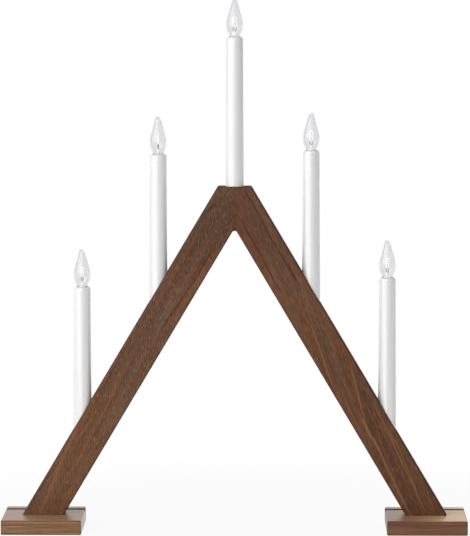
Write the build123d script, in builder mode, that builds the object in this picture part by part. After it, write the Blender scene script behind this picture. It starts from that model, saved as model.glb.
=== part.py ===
from build123d import *
import math
import os

# Electric candle arch: two leaning wooden legs on foot plates carry five candles with screw lamps.
# Millimetres. X runs across the arch, Y away from the viewer, Z up.
# The origin is on the floor, midway between the two feet.

# Lamp cap, and what is built up around it
cap_radius = 4.765
cap_wall = 0.4
cap_length = 9.0
cap_drop = 2.5  # rim of the cap below the candle's mouth
thread_gap = 0.135
fit = 0.1
running_gap = 0.05

# Insulator with contact button under the cap
base_height = 1.65
base_foot_radius = 2.5
button_radius = 1.6
button_height = 0.8
button_round = 0.5

# Lamp glass, measured up from the candle's mouth
bulb_radius = 8.3
bulb_height = 37.0
glass_wall = 0.6
neck_gap = 0.165  # cement between cap and glass
neck_depth = 7.0
mouth_gap = 0.6  # between the glass and the rim of the mouth
belly_height_shares = (0.14, 0.22, 0.31, 0.43, 0.57, 0.70, 0.84)
belly_radius_shares = (0.88, 0.985, 1.0, 0.955, 0.80, 0.63, 0.446)

# Stem, leads and filament inside the glass
stem_radius = 1.9
stem_height = 5.0
stem_round = 1.0
lead_radius = 0.28
lead_half_gap = 0.8
lead_rise = 0.6  # straight length at the top of the stem
lead_bend = 0.8
filament_radius = 0.7
filament_half_span = 1.6
filament_foot = 9.2  # above the mouth
filament_tail = 0.8  # straight lead below the filament
filament_leg = 8.5

# Lampholder with screw shell and centre contact
shell_wall = 0.4
shell_drop = 2.2
shell_length = 11.0
tag_width = 2.0
tag_length = 6.3
holder_wall = 1.3
holder_floor = 2.65
ledge_radius = 4.0
contact_radius = 3.0
contact_thickness = 0.8
rivet_radius = 1.0
solder_gap = 0.05

# Candle tube
tube_length = 163.0
tube_wall = 1.45
tube_taper = 0.85  # growth of the radius from mouth to base
tube_crown = 1.6
tube_rim_round = 2.5
mouth_room = 0.935  # mouth wider than the cap
seat_gap = 0.2

# Wooden frame
candle_spacing = 75.6
leg_lean = 30.7  # degrees from upright
leg_width = 35.1
leg_tail = 39.1  # along X, from the lowest candle to the middle of the leg's foot end
apex_flat = 33.0
apex_corner_round = 2.0
crotch_round = 2.8
leg_arris = 1.4
seat_wall = 1.7  # wood left on each side of a candle hole

# Wire passages in the legs
groove_inset = 7.7  # from the leg's inner edge to the middle of the groove
groove_width = 7.0
groove_depth = 5.5
well_radius = 4.5
well_sump = 0.5  # depth of a well below its wire exit
exit_radius = 3.3
seat_rises = {  # height of each candle's seat over the middle of the groove
    "left_low": 17.8,
    "left_mid": 22.1,
    "top": 10.6,
    "right_mid": 25.8,
    "right_low": 27.1,
}
filament_turns = {  # degrees, as the lamps happen to be screwed in
    "left_low": 60.0,
    "left_mid": 80.0,
    "top": 0.0,
    "right_mid": 15.0,
    "right_low": 40.0,
}

# Foot plates and their screws
foot_length = 79.4
foot_depth = 95.0
foot_thickness = 14.4
foot_arris = 1.4
foot_groove_width = 8.5
foot_groove_depth = 3.0
foot_groove_inset = 18.0  # from the rear edge
screw_radius = 2.0
screw_head_radius = 4.0
screw_head_height = 2.2
screw_sink = 0.4
screw_length = 40.0
screw_point = 4.0
screw_inset_share = 0.18  # middle of the pair, from the leg's middle towards the arch
screw_spacing_share = 0.34

# Dowels across the mitre
dowel_radius = 3.0
dowel_length = 36.0
dowel_chamfer = 0.8
dowel_end_room = 0.5
dowel_fit = 0.05
dowel_rise = 7.0  # above the crotch
dowel_front = 6.0  # front dowel, before the middle of the board
dowel_back = 1.0

# Wiring
wire_radius = 0.8
wire_bend = 3.0
apex_bend = 2.5
lane = 1.35  # each lane from the middle of the groove
pair = 1.3  # each of two wires in an exit, along the groove
tag_wire_depth = 2.4  # in front of the middle of the board
sleeve_radius = 1.5
sleeve_length = 12.0
sleeve_spacing = 14.0
sleeve_room = 7.4  # along the groove, above the foot plate

overrun = 1.0

# Radii from the cap outwards
neck_radius = cap_radius - cap_wall - neck_gap
shell_bore = cap_radius + thread_gap
shell_radius = shell_bore + shell_wall
tag_radius = shell_bore + shell_wall / 2
holder_bore = shell_radius + fit
holder_radius = holder_bore + holder_wall
tube_bore = holder_radius + fit
tube_top_radius = tube_bore + tube_wall
tube_base_radius = tube_top_radius + tube_taper
mouth_radius = cap_radius + mouth_room
seat_radius = tube_base_radius + seat_gap

# Depths below the mouth
shell_foot = shell_drop + shell_length
base_top = cap_drop + cap_length + running_gap
base_foot = base_top + base_height
button_foot = base_foot + button_height
contact_top = button_foot + running_gap
floor_top = contact_top + contact_thickness
holder_foot = floor_top + holder_floor
terminal = shell_foot + tag_length

# The A of the frame
sin_lean = math.sin(math.radians(leg_lean))
cos_lean = math.cos(math.radians(leg_lean))
tan_lean = math.tan(math.radians(leg_lean))
leg_thickness = 2 * (seat_radius + seat_wall)
leg_span = leg_width / cos_lean
foot_centre = 2 * candle_spacing + leg_tail
leg_outer = foot_centre + leg_span / 2
leg_inner = foot_centre - leg_span / 2
apex_height = foot_thickness + (leg_outer - apex_flat / 2) / tan_lean
crotch_height = foot_thickness + leg_inner / tan_lean
groove_apex = crotch_height + groove_inset / sin_lean
groove_floor = leg_thickness / 2 - groove_depth
wire_depth = groove_floor + sleeve_radius + fit
screw_inset = leg_span * screw_inset_share
screw_spacing = leg_span * screw_spacing_share

candle_names = tuple(seat_rises)
candle_places = {name: (i - 2) * candle_spacing for i, name in enumerate(candle_names)}
candle_seats = {
    name: groove_apex - abs(x) / tan_lean + seat_rises[name]
    for name, x in candle_places.items()
}
candle_mouths = {name: z + tube_length for name, z in candle_seats.items()}

# Splice sleeves, along the groove below the lowest exit
lowest_exit = candle_seats["left_low"] - seat_rises["left_low"]
return_sleeve_place = (lowest_exit - foot_thickness) / cos_lean - sleeve_room - sleeve_length
feed_sleeve_place = return_sleeve_place - sleeve_spacing

os.makedirs("parts", exist_ok=True)


def save(builder, label):
    builder.part.label = label
    export_step(builder.part, f"parts/{label}.step")


def upright(x, z, turn=0.0):
    """A plane whose own X is a radius and whose own Y points up, turned about the upright."""
    angle = math.radians(turn)
    return Plane(
        origin=(x, 0, z),
        x_dir=(math.cos(angle), math.sin(angle), 0),
        z_dir=(math.sin(angle), -math.cos(angle), 0),
    )


def upright_axis(x):
    return Axis((x, 0, 0), (0, 0, 1))


def groove_point(x, side, across=0.0, along=0.0):
    """A point (x, z) of the groove, shifted towards the leg's outer edge and down the leg."""
    return (
        x + side * (across * cos_lean + along * sin_lean),
        groove_apex - abs(x) / tan_lean + across * sin_lean - along * cos_lean,
    )


def make_leg(side, label):
    names = [name for name in candle_names if side * candle_places[name] >= 0]
    with BuildPart() as leg:
        with BuildSketch(Plane.XZ) as outline:
            with BuildLine():
                Polyline(
                    (-leg_outer, foot_thickness),
                    (-apex_flat / 2, apex_height),
                    (apex_flat / 2, apex_height),
                    (leg_outer, foot_thickness),
                    (leg_inner, foot_thickness),
                    (0, crotch_height),
                    (-leg_inner, foot_thickness),
                    close=True,
                )
            make_face()
            fillet(outline.vertices().group_by(Axis.Y)[-1], radius=apex_corner_round)
            crotch = outline.vertices().sort_by_distance((0, crotch_height))[0]
            fillet(crotch, radius=crotch_round)
        extrude(amount=leg_thickness / 2, both=True)
        faces = leg.faces().sort_by(Axis.Y)
        rims = faces[0].edges() + faces[-1].edges()
        fillet(rims.filter_by(lambda e: e.center().Z > foot_thickness + leg_arris), radius=leg_arris)
        split(bisect_by=Plane.YZ, keep=Keep.TOP if side > 0 else Keep.BOTTOM)

        # Candle holes, wire wells under them and wire exits at the back
        for name in names:
            x = candle_places[name]
            groove_z = groove_point(x, side)[1]
            with Locations((x, 0, candle_seats[name])):
                Cylinder(
                    seat_radius,
                    tube_length,
                    align=(Align.CENTER, Align.CENTER, Align.MIN),
                    mode=Mode.SUBTRACT,
                )
            with Locations((x, 0, groove_z - exit_radius - well_sump)):
                Cylinder(
                    well_radius,
                    seat_rises[name] + exit_radius + well_sump,
                    align=(Align.CENTER, Align.CENTER, Align.MIN),
                    mode=Mode.SUBTRACT,
                )
            with BuildSketch(Plane.XZ.offset(-leg_thickness / 2)):
                with Locations((x, groove_z)):
                    Circle(exit_radius)
            extrude(amount=leg_thickness / 2, mode=Mode.SUBTRACT)

        # Wire groove down the back, open at its foot end
        groove_run = (groove_apex - foot_thickness) / cos_lean
        groove_reach = groove_run + 2 * leg_width
        with BuildSketch(Plane.XZ.offset(-leg_thickness / 2)):
            with Locations(groove_point(0, side, along=groove_run / 2)):
                Rectangle(groove_reach, groove_width, rotation=side * (leg_lean - 90))
        extrude(amount=groove_depth, mode=Mode.SUBTRACT)

        # Pilot holes for the foot screws, and dowel holes in the mitre face
        for x in screw_places(side):
            with Locations((x, 0, foot_thickness)):
                Cylinder(
                    screw_radius + dowel_fit,
                    screw_sink + screw_length - foot_thickness + dowel_end_room,
                    align=(Align.CENTER, Align.CENTER, Align.MIN),
                    mode=Mode.SUBTRACT,
                )
        with BuildSketch(Plane.YZ.offset(-dowel_length / 2 - dowel_end_room)):
            with Locations(*dowel_places()):
                Circle(dowel_radius + dowel_fit)
        extrude(amount=dowel_length + 2 * dowel_end_room, mode=Mode.SUBTRACT)
    save(leg, label)


def screw_places(side):
    middle = foot_centre - screw_inset
    return [side * (middle - screw_spacing / 2), side * (middle + screw_spacing / 2)]


def dowel_places():
    height = crotch_height + dowel_rise
    return [(-dowel_front, height), (dowel_back, height)]


def make_dowels():
    with BuildPart() as dowels:
        with BuildSketch(Plane.YZ.offset(-dowel_length / 2)):
            with Locations(*dowel_places()):
                Circle(dowel_radius)
        extrude(amount=dowel_length)
        chamfer(dowels.edges().filter_by(GeomType.CIRCLE), length=dowel_chamfer)
    save(dowels, "apex_dowels")


def screw_outline(room=0.0):
    """Half of a countersunk screw: radius across, height up from the floor."""
    head_top = screw_sink + screw_head_height
    return (
        (0, screw_sink),
        (screw_head_radius + room, screw_sink),
        (screw_radius + room, head_top),
        (screw_radius + room, screw_sink + screw_length - screw_point),
        (0, screw_sink + screw_length),
    )


def make_foot(side, label):
    with BuildPart() as foot:
        with Locations((side * foot_centre, 0, 0)):
            Box(
                foot_length,
                foot_depth,
                foot_thickness,
                align=(Align.CENTER, Align.CENTER, Align.MIN),
            )
        fillet(foot.edges(), radius=foot_arris)
        groove_y = foot_depth / 2 - foot_groove_inset
        with Locations((side * foot_centre, groove_y, foot_thickness - foot_groove_depth)):
            Box(
                foot_length + overrun,
                foot_groove_width,
                foot_groove_depth + overrun,
                align=(Align.CENTER, Align.CENTER, Align.MIN),
                mode=Mode.SUBTRACT,
            )
        for x in screw_places(side):
            with Locations((x, 0, 0)):
                Cylinder(
                    screw_head_radius + fit,
                    screw_sink,
                    align=(Align.CENTER, Align.CENTER, Align.MIN),
                    mode=Mode.SUBTRACT,
                )
            with BuildSketch(upright(x, 0)):
                with BuildLine():
                    Polyline(*screw_outline(fit), close=True)
                make_face()
            revolve(axis=upright_axis(x), mode=Mode.SUBTRACT)
    save(foot, label)


def make_foot_screws(side, label):
    with BuildPart() as screws:
        for x in screw_places(side):
            with BuildSketch(upright(x, 0)):
                with BuildLine():
                    Polyline(*screw_outline(), close=True)
                make_face()
            revolve(axis=upright_axis(x))
    save(screws, label)


def make_candle_tube(name):
    x, mouth = candle_places[name], candle_mouths[name]
    with BuildPart() as tube:
        with BuildSketch(upright(x, mouth)) as half:
            with BuildLine():
                Polyline(
                    (tube_base_radius - tube_wall, -tube_length),
                    (tube_base_radius, -tube_length),
                    (tube_top_radius, 0),
                    (mouth_radius, 0),
                    (mouth_radius, -tube_crown),
                    (tube_bore, -tube_crown),
                    close=True,
                )
            make_face()
            rim = half.vertices().group_by(Axis.Y)[-1].sort_by(Axis.X)[-1]
            fillet(rim, radius=tube_rim_round)
        revolve(axis=upright_axis(x))
    save(tube, f"candle_tube_{name}")


def tag_outline(x, z, room=0.0):
    """The cross-section of the shell's solder tag, a short arc of the shell at the front."""
    with BuildSketch(Plane((x, 0, z))) as tag:
        Circle(shell_radius + room)
        Circle(shell_bore - room, mode=Mode.SUBTRACT)
        with Locations((0, -shell_radius)):
            Rectangle(tag_width + 2 * room, shell_radius, mode=Mode.INTERSECT)
    return tag.sketch


def make_lampholder(name):
    x, mouth = candle_places[name], candle_mouths[name]
    with BuildPart() as holder:
        with BuildSketch(upright(x, mouth)):
            with BuildLine():
                Polyline(
                    (holder_radius, -tube_crown),
                    (holder_bore, -tube_crown),
                    (holder_bore, -shell_foot),
                    (ledge_radius, -shell_foot),
                    (ledge_radius, -floor_top),
                    (rivet_radius + fit, -floor_top),
                    (rivet_radius + fit, -holder_foot),
                    (holder_radius, -holder_foot),
                    close=True,
                )
            make_face()
        revolve(axis=upright_axis(x))
        extrude(tag_outline(x, mouth - shell_foot, fit), amount=-tag_length, mode=Mode.SUBTRACT)
    save(holder, f"lampholder_{name}")


def make_screw_shell(name):
    x, mouth = candle_places[name], candle_mouths[name]
    with BuildPart() as shell:
        with BuildSketch(Plane((x, 0, mouth - shell_foot))):
            Circle(shell_radius)
            Circle(shell_bore, mode=Mode.SUBTRACT)
        extrude(amount=shell_length)
        extrude(tag_outline(x, mouth - shell_foot), amount=-tag_length)
    save(shell, f"screw_shell_{name}")


def make_centre_contact(name):
    x, mouth = candle_places[name], candle_mouths[name]
    with BuildPart() as contact:
        with BuildSketch(Plane((x, 0, mouth - floor_top))):
            Circle(contact_radius)
        extrude(amount=contact_thickness)
        with BuildSketch(Plane((x, 0, mouth - floor_top))):
            Circle(rivet_radius)
        extrude(amount=floor_top - terminal)
    save(contact, f"centre_contact_{name}")


def glass_curve(inset):
    """Points of the flame outline from the mouth to the tip, moved inwards by a wall."""
    points = [(mouth_radius - mouth_gap - inset, 0)]
    for height_share, radius_share in zip(belly_height_shares, belly_radius_shares):
        points.append((bulb_radius * radius_share - inset, bulb_height * height_share))
    points.append((0, bulb_height - inset))
    return points


def make_bulb_glass(name):
    x, mouth = candle_places[name], candle_mouths[name]
    plane = upright(x, mouth, filament_turns[name])
    neck_bore = neck_radius - glass_wall
    neck_floor = glass_wall - neck_depth
    stem_shoulder = stem_height - stem_round
    stem_crown = stem_radius - stem_round
    with BuildPart() as glass:
        with BuildSketch(plane):
            with BuildLine():
                outer = Spline(
                    [(neck_radius, -cap_drop), *glass_curve(0)], tangents=((0, 1), (-1, 0))
                )
                inner = Spline(
                    [(neck_bore, -cap_drop), *glass_curve(glass_wall)], tangents=((0, 1), (-1, 0))
                )
                Line(outer @ 1, inner @ 1)
                Polyline(
                    inner @ 0,
                    (neck_bore, neck_floor),
                    (stem_radius, neck_floor),
                    (stem_radius, stem_shoulder),
                )
                RadiusArc((stem_radius, stem_shoulder), (stem_crown, stem_height), -stem_round)
                Polyline(
                    (stem_crown, stem_height),
                    (0, stem_height),
                    (0, -neck_depth),
                    (neck_radius, -neck_depth),
                    outer @ 0,
                )
            make_face()
        revolve(axis=upright_axis(x))
        with BuildSketch(Plane((x, 0, mouth - neck_depth), x_dir=plane.x_dir)):
            with Locations((-lead_half_gap, 0), (lead_half_gap, 0)):
                Circle(lead_radius + running_gap)
        extrude(amount=neck_depth + stem_height, mode=Mode.SUBTRACT)
    save(glass, f"bulb_glass_{name}")


def make_bulb_cap(name):
    x, mouth = candle_places[name], candle_mouths[name]
    with BuildPart() as cap:
        with BuildSketch(Plane((x, 0, mouth - cap_drop - cap_length))):
            Circle(cap_radius)
        extrude(amount=cap_length)
        with BuildSketch(Plane((x, 0, mouth - cap_drop))):
            Circle(cap_radius - cap_wall)
        extrude(amount=cap_wall - cap_length, mode=Mode.SUBTRACT)
        with BuildSketch(Plane((x, 0, mouth - cap_drop))):
            Circle(base_foot_radius)
        extrude(amount=-cap_length, mode=Mode.SUBTRACT)
    save(cap, f"bulb_cap_{name}")


def make_bulb_base(name):
    x, mouth = candle_places[name], candle_mouths[name]
    with BuildPart() as base:
        with BuildSketch(upright(x, mouth)) as half:
            with BuildLine():
                Polyline(
                    (0, -base_top),
                    (cap_radius - cap_wall, -base_top),
                    (base_foot_radius, -base_foot),
                    (button_radius, -base_foot),
                    (button_radius, -button_foot),
                    (0, -button_foot),
                    close=True,
                )
            make_face()
            rim = half.vertices().group_by(Axis.Y)[0].sort_by(Axis.X)[-1]
            fillet(rim, radius=button_round)
        revolve(axis=upright_axis(x))
    save(base, f"bulb_base_{name}")


def make_bulb_leads(name):
    x, mouth = candle_places[name], candle_mouths[name]
    plane = upright(x, mouth, filament_turns[name])
    with BuildPart() as leads:
        for side in (-1, 1):
            with BuildLine(plane) as route:
                FilletPolyline(
                    (side * lead_half_gap, -neck_depth),
                    (side * lead_half_gap, stem_height + lead_rise),
                    (side * filament_half_span, filament_foot - filament_tail),
                    (side * filament_half_span, filament_foot),
                    radius=lead_bend,
                )
            with BuildSketch(Plane(route.line @ 0, z_dir=route.line % 0)):
                Circle(lead_radius)
            sweep()
    save(leads, f"bulb_leads_{name}")


def make_filament(name):
    x, mouth = candle_places[name], candle_mouths[name]
    plane = upright(x, mouth, filament_turns[name])
    shoulder = filament_foot + filament_leg
    with BuildPart() as filament:
        with BuildLine(plane) as route:
            Line((-filament_half_span, filament_foot), (-filament_half_span, shoulder))
            CenterArc((0, shoulder), filament_half_span, start_angle=180, arc_size=-180)
            Line((filament_half_span, shoulder), (filament_half_span, filament_foot))
        with BuildSketch(Plane(route.line @ 0, z_dir=route.line % 0)):
            Circle(filament_radius)
        sweep()
    save(filament, f"filament_{name}")


def wire_end(name, terminal_kind, side, across, along):
    """Points of a wire from a lampholder's terminal down its tube and out into the groove."""
    x, mouth = candle_places[name], candle_mouths[name]
    exit_x, exit_z = groove_point(x, side, across, along)
    terminal_y = -tag_radius if terminal_kind == "tag" else 0.0
    well_y = -tag_wire_depth if terminal_kind == "tag" else 0.0
    return [
        (x, terminal_y, mouth - terminal - solder_gap),
        (exit_x, well_y, exit_z),
        (exit_x, wire_depth, exit_z),
    ]


def sleeve_middle(across, place):
    x, z = groove_point(candle_places["left_low"], -1, across, place + sleeve_length / 2)
    return (x, wire_depth, z)


def make_wire(label, points, radii):
    with BuildPart() as wire:
        with BuildLine() as route:
            FilletPolyline(*points, radius=radii)
        with BuildSketch(Plane(route.line @ 0, z_dir=route.line % 0)):
            Circle(wire_radius)
        sweep()
    save(wire, label)


def make_wiring():
    """The lamps are in series: feed, four links and a return that runs back to the inlet."""
    links = (
        (("left_low", "contact", -1, lane, -pair), ("left_mid", "tag", -1, lane, pair)),
        (("left_mid", "contact", -1, lane, -pair), ("top", "contact", -1, lane, pair / 2)),
        (("top", "tag", 1, lane, pair / 2), ("right_mid", "contact", 1, lane, -pair)),
        (("right_mid", "tag", 1, lane, pair), ("right_low", "contact", 1, lane, -pair)),
    )
    for number, (first, second) in enumerate(links, start=1):
        points = wire_end(*first) + wire_end(*second)[::-1]
        make_wire(f"link_wire_{number}", points, [wire_bend] * (len(points) - 2))

    feed = wire_end("left_low", "tag", -1, lane, pair)
    feed.append(sleeve_middle(lane, feed_sleeve_place))
    make_wire("feed_wire", feed, [wire_bend, wire_bend])

    back = wire_end("right_low", "tag", 1, -lane, 0.0)
    back.append((0, wire_depth, groove_apex - lane / sin_lean))
    back.append(sleeve_middle(-lane, return_sleeve_place))
    make_wire("return_wire", back, [wire_bend, wire_bend, apex_bend])

    with BuildPart() as sleeves:
        for across, place in ((lane, feed_sleeve_place), (-lane, return_sleeve_place)):
            middle = Vector(*sleeve_middle(across, place))
            down = Vector(-sin_lean, 0, -cos_lean)
            with BuildSketch(Plane(middle - down * (sleeve_length / 2), z_dir=down)):
                Circle(sleeve_radius)
                Circle(wire_radius + fit, mode=Mode.SUBTRACT)
            extrude(amount=sleeve_length)
    save(sleeves, "splice_sleeves")


for side_name, side in (("left", -1), ("right", 1)):
    make_leg(side, f"{side_name}_leg")
    make_foot(side, f"{side_name}_foot")
    make_foot_screws(side, f"{side_name}_foot_screws")
make_dowels()
for candle_name in candle_names:
    make_candle_tube(candle_name)
    make_lampholder(candle_name)
    make_screw_shell(candle_name)
    make_centre_contact(candle_name)
    make_bulb_glass(candle_name)
    make_bulb_cap(candle_name)
    make_bulb_base(candle_name)
    make_bulb_leads(candle_name)
    make_filament(candle_name)
make_wiring()
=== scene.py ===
import bpy
import bmesh
import math
from mathutils import Matrix, Vector


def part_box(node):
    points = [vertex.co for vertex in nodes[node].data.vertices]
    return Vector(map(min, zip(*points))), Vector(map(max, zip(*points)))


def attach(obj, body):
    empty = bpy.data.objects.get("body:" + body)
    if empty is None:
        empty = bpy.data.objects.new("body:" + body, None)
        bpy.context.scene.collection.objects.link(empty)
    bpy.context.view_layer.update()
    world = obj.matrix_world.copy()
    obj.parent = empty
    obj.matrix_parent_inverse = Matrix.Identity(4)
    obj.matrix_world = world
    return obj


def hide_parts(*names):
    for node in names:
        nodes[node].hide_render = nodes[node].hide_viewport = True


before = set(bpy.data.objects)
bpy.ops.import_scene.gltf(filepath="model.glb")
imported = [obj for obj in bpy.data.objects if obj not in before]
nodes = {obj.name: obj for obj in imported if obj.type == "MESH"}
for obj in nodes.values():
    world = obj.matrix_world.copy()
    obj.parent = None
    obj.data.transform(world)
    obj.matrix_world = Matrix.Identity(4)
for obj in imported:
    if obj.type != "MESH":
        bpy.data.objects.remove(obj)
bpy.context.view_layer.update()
mm = 0.001
fullTurn = 2 * math.pi
lampNames = ["left_low", "left_mid", "top", "right_mid", "right_low"]

# Kinds and settings that many nodes share
mapRange, mathNode, vectorMath = "ShaderNodeMapRange", "ShaderNodeMath", "ShaderNodeVectorMath"
smoothStep = {"interpolation_type": "SMOOTHSTEP"}
times, timesPlus = {"operation": "MULTIPLY"}, {"operation": "MULTIPLY_ADD"}
plus, minus = {"operation": "ADD"}, {"operation": "SUBTRACT"}
unsigned, larger = {"operation": "ABSOLUTE"}, {"operation": "MAXIMUM"}
above, under = {"operation": "GREATER_THAN"}, {"operation": "LESS_THAN"}
cosineOf, sineOf = {"operation": "COSINE"}, {"operation": "SINE"}
scaled = {"operation": "SCALE"}
ofColours, ofValues = {"data_type": "RGBA"}, {"data_type": "FLOAT"}
print("frame loaded:", len(nodes), "nodes")


def hexToLinear(code):  # "#RRGGBB" as written in sRGB, to the linear colour that a socket takes
    channels = [int(code[i:i + 2], 16) / 255 for i in (1, 3, 5)]
    return tuple(c / 12.92 if c <= 0.04045 else ((c + 0.055) / 1.055) ** 2.4 for c in channels) + (1.0,)


def addNode(tree, kind, settings=None, inputs=None):  # inputs: socket -> a value, an output or a node
    node = tree.nodes.new(kind)
    for key, value in (settings or {}).items():
        setattr(node, key, value)
    for key, value in (inputs or {}).items():
        if isinstance(value, bpy.types.Node):
            value = next(output for output in value.outputs if output.enabled)
        if isinstance(value, bpy.types.NodeSocket):
            tree.links.new(value, node.inputs[key])
        else:
            node.inputs[key].default_value = value
    return node


def spread(value, start, end, low=0.0, high=1.0):  # start to end of a value becomes low to high
    return {"Value": value, "From Min": start, "From Max": end, "To Min": low, "To Max": high}


def setStops(ramp, stops):  # stops: (place, hex colour or grey) from left to right
    ramp.interpolation = "EASE"
    while len(ramp.elements) < len(stops):
        ramp.elements.new(1.0)
    for element, (place, tone) in zip(ramp.elements, stops):
        element.position = place
        element.color = hexToLinear(tone) if isinstance(tone, str) else (tone, tone, tone, 1.0)


def newMaterial(name, shaderInputs):
    material = bpy.data.materials.new(name)
    material.use_nodes = True
    tree = material.node_tree
    tree.nodes.clear()
    shader = addNode(tree, "ShaderNodeBsdfPrincipled", inputs=shaderInputs)
    addNode(tree, "ShaderNodeOutputMaterial", inputs={"Surface": shader})
    return material, tree, shader


def feed(tree, shader, name, node):  # a node's live output into one of the shader's sockets
    tree.links.new(next(output for output in node.outputs if output.enabled), shader.inputs[name])


# patterns: size in mm (three sizes where it is drawn out), detail and wander; the first one gives the tone
# roughness: lowest, highest and number of its pattern; bump: strength, depth in mm and number of its pattern
def patterned(name, shaderInputs, patterns, stops=(), roughness=None, bump=None, toned="Base Color"):
    material, tree, shader = newMaterial(name, shaderInputs)
    where = addNode(tree, "ShaderNodeTexCoord").outputs["Object"]
    made = []
    for size, detail, wander in patterns:
        spot, scale = where, 1.0
        if isinstance(size, tuple):
            spot = addNode(tree, "ShaderNodeMapping", inputs={
                "Vector": where, "Scale": [1 / (s * mm) for s in size]})
        else:
            scale = 1 / (size * mm)
        made.append(addNode(tree, "ShaderNodeTexNoise", inputs={
            "Vector": spot, "Scale": scale, "Detail": detail, "Distortion": wander}).outputs[0])
    if stops:
        tone = addNode(tree, "ShaderNodeValToRGB", inputs={0: made[0]})
        setStops(tone.color_ramp, stops)
        feed(tree, shader, toned, tone)
    if roughness:
        low, high, which = roughness
        feed(tree, shader, "Roughness", addNode(tree, mapRange, inputs={
            "Value": made[which], "To Min": low, "To Max": high}))
    if bump:
        strength, depth, which = bump
        feed(tree, shader, "Normal", addNode(tree, "ShaderNodeBump", inputs={
            "Strength": strength, "Distance": depth * mm, "Height": made[which]}))
    return material


def dress(material, *names):  # a better finish for CAD nodes that stay
    for name in names:
        mesh = nodes[name].data
        mesh.materials.clear()
        mesh.materials.append(material)


def place(name, mesh, body, slotName, *replaced):  # a finished mesh becomes a piece
    piece = bpy.data.objects.new(name, mesh)
    bpy.context.scene.collection.objects.link(piece)
    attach(piece, body)
    if replaced:
        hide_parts(*replaced)
    return piece


# Camera and studio
studio = {
    "cameraPlace": (0.0486, -3.8, 0.6005),
    "cameraDown": 5.117,  # degrees below level
    "cameraLeft": 0.728,  # degrees towards the left leg
    "focalPixels": 3852.0,
    "imageHeight": 536,
    "sensor": 36.0,
    "floorColour": "#F4F3F1",
    "floorReach": 9.0,
    "floorFront": 0.9,  # the floor ends just before the set, so that what is shiny mirrors the wall
    "floorShadow": 0.1,  # share of the floor's own shading that shows beside the feet
    "floorFade": (0.22, 0.6),  # metres from the middle, over which that share ends
    "roomLight": (0.4, 1.0),  # from the camera's side and from behind the set
    "roomDepth": (0.2, 0.8),  # how far a direction points away from the camera, here and below
    "mirrorDim": 0.34,
    "mirrorDepth": (0.35, 0.92),
    "glassDepth": (0.45, 0.9),
    "glassEnds": (0.9, 0.99),
    "wallShine": 2.4,
    "wallEdge": (-0.19, -0.14),
    "wallRise": (0.35, 0.5),
    "wallDepth": (0.0, 0.3),
    "boxWatts": 78.0,
    "boxPlace": (-1.72, -2.46, 1.35),
    "boxSize": (5.0, 1.9),
    "boxTarget": (0, 0, 0.25),
}

cameraData = bpy.data.cameras.new("photoCamera")
cameraData.sensor_fit = "VERTICAL"
cameraData.sensor_height = studio["sensor"]
cameraData.lens = studio["focalPixels"] * studio["sensor"] / studio["imageHeight"]
camera = bpy.data.objects.new("photoCamera", cameraData)
camera.location = studio["cameraPlace"]
camera.rotation_euler = (math.radians(90 - studio["cameraDown"]), 0, math.radians(studio["cameraLeft"]))
bpy.context.scene.collection.objects.link(camera)
bpy.context.scene.camera = camera
bpy.context.scene.view_settings.view_transform = "Standard"

world = bpy.data.worlds.new("whiteStudio")
bpy.context.scene.world = world
world.use_nodes = True
worldTree = world.node_tree
worldTree.nodes.clear()
path = addNode(worldTree, "ShaderNodeLightPath").outputs
direction = addNode(worldTree, "ShaderNodeTexCoord").outputs["Generated"]
side, depth, rise = addNode(worldTree, "ShaderNodeSeparateXYZ", inputs={0: direction}).outputs
ahead, beside, steep = [
    addNode(worldTree, mathNode, unsigned, {0: part}) for part in (depth, side, rise)]
# shiny surfaces mirror white behind the set, and dimmer sides and front
mirrored = addNode(worldTree, mapRange, smoothStep, spread(
    depth, *studio["mirrorDepth"], studio["mirrorDim"], 1.0))
# glass shows dark corners of the room along its outline
through = addNode(worldTree, mapRange, smoothStep, spread(ahead, *studio["glassDepth"]))
ends = addNode(worldTree, mapRange, smoothStep, spread(beside, *studio["glassEnds"]))
through = addNode(worldTree, mathNode, larger, {0: through, 1: ends})
# a bright wall at the left of the camera is mirrored with a sharp edge
wall = addNode(worldTree, mapRange, smoothStep, spread(side, *studio["wallEdge"], studio["wallShine"], 0.0))
for part, span in ((steep, studio["wallRise"]), (depth, studio["wallDepth"])):
    limit = addNode(worldTree, mapRange, smoothStep, spread(part, *span, 1.0, 0.0))
    wall = addNode(worldTree, mathNode, times, {0: wall, 1: limit})
mirrored = addNode(worldTree, mathNode, larger, {0: mirrored, 1: wall})
lit = addNode(worldTree, mapRange, smoothStep, spread(depth, *studio["roomDepth"], *studio["roomLight"]))
unscattered = addNode(worldTree, mathNode, under, {0: path["Diffuse Depth"], 1: 0.5})
clear = addNode(worldTree, mathNode, times, {0: path["Is Transmission Ray"], 1: unscattered})
for share, shown in ((path["Is Glossy Ray"], mirrored), (clear, through), (path["Is Camera Ray"], 1.0)):
    lit = addNode(worldTree, "ShaderNodeMix", ofValues, {0: share, 2: lit, 3: shown})
background = addNode(worldTree, "ShaderNodeBackground", inputs={"Color": (1, 1, 1, 1), "Strength": lit})
addNode(worldTree, "ShaderNodeOutputWorld", inputs={"Surface": background})

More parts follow.
